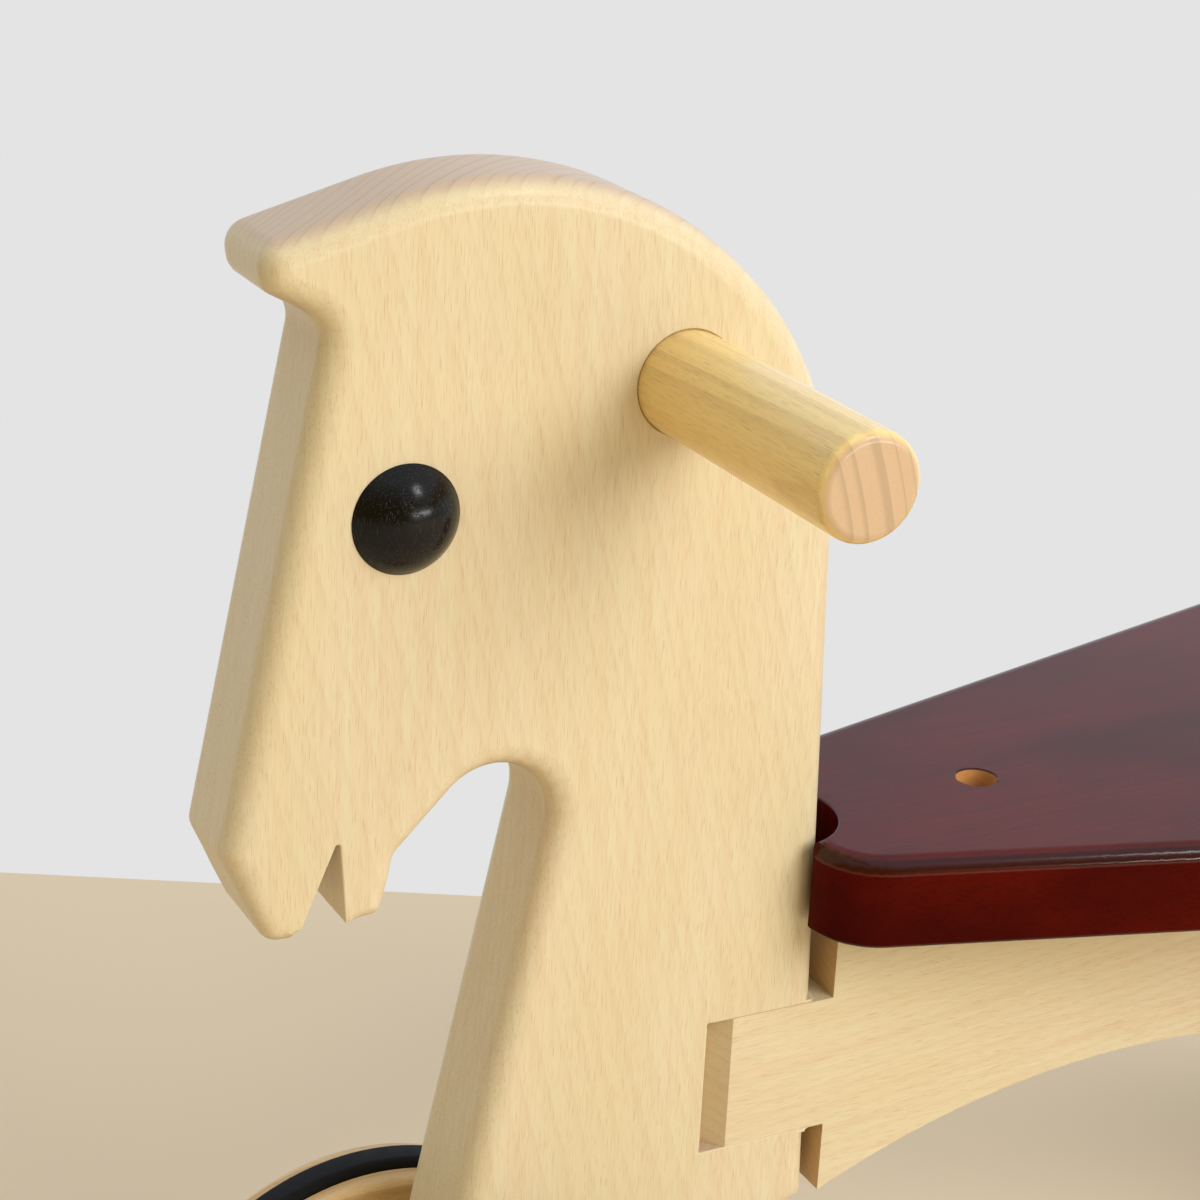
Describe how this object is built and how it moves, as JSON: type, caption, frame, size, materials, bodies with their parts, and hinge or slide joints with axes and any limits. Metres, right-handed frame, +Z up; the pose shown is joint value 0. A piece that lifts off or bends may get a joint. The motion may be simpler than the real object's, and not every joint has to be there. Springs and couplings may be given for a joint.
{
  "type": "wheeled wooden ride-on horse",
  "caption": "Flat-sided wooden ride-on horse on rubber-tyred wheels, with a through handle, black eyes and a stained seat board.",
  "frame": {"origin": "on the floor, midway between the two axles, on the centre plane", "axes": "+Z up, the horse faces -X, its left side is -Y"},
  "size_m": [0.54, 0.19, 0.3879],
  "materials": {
    "beech": "clear satin lacquer",
    "handle_beech": "clear satin lacquer",
    "wheel_beech": "clear satin lacquer",
    "stained_beech": "red-brown stain under satin lacquer",
    "black_beech": "black stain, satin",
    "tyre_rubber": "matt black rubber",
    "steel": "bright zinc plate",
    "nylon": "natural white"
  },
  "bodies": {
    "horse": {"head_board": "beech", "spine_beam": "beech", "hind_board": "beech", "seat": "stained_beech", "seat_screws": "steel", "handle": "handle_beech", "left_eye": "black_beech", "right_eye": "black_beech", "front_dowels": "beech", "rear_dowels": "beech", "front_axle": "steel", "rear_axle": "steel", "front_spacers": "nylon", "rear_spacers": "nylon", "front_washers": "steel", "rear_washers": "steel", "front_caps": "steel", "rear_caps": "steel"},
    "front_left_roll": {"front_left_wheel": "wheel_beech", "front_left_tyre": "tyre_rubber", "front_left_bush": "nylon"},
    "front_right_roll": {"front_right_wheel": "wheel_beech", "front_right_tyre": "tyre_rubber", "front_right_bush": "nylon"},
    "rear_left_roll": {"rear_left_wheel": "wheel_beech", "rear_left_tyre": "tyre_rubber", "rear_left_bush": "nylon"},
    "rear_right_roll": {"rear_right_wheel": "wheel_beech", "rear_right_tyre": "tyre_rubber", "rear_right_bush": "nylon"}
  },
  "joints": [
    {"name": "front_left_spin", "type": "hinge", "parent": "horse", "child": "front_left_roll", "pos_m": [-0.21, -0.032, 0.06], "axis": [0, 1, 0], "continuous": true},
    {"name": "front_right_spin", "type": "hinge", "parent": "horse", "child": "front_right_roll", "pos_m": [-0.21, 0.032, 0.06], "axis": [0, 1, 0], "continuous": true},
    {"name": "rear_left_spin", "type": "hinge", "parent": "horse", "child": "rear_left_roll", "pos_m": [0.21, -0.032, 0.06], "axis": [0, 1, 0], "continuous": true},
    {"name": "rear_right_spin", "type": "hinge", "parent": "horse", "child": "rear_right_roll", "pos_m": [0.21, 0.032, 0.06], "axis": [0, 1, 0], "continuous": true}
  ]
}
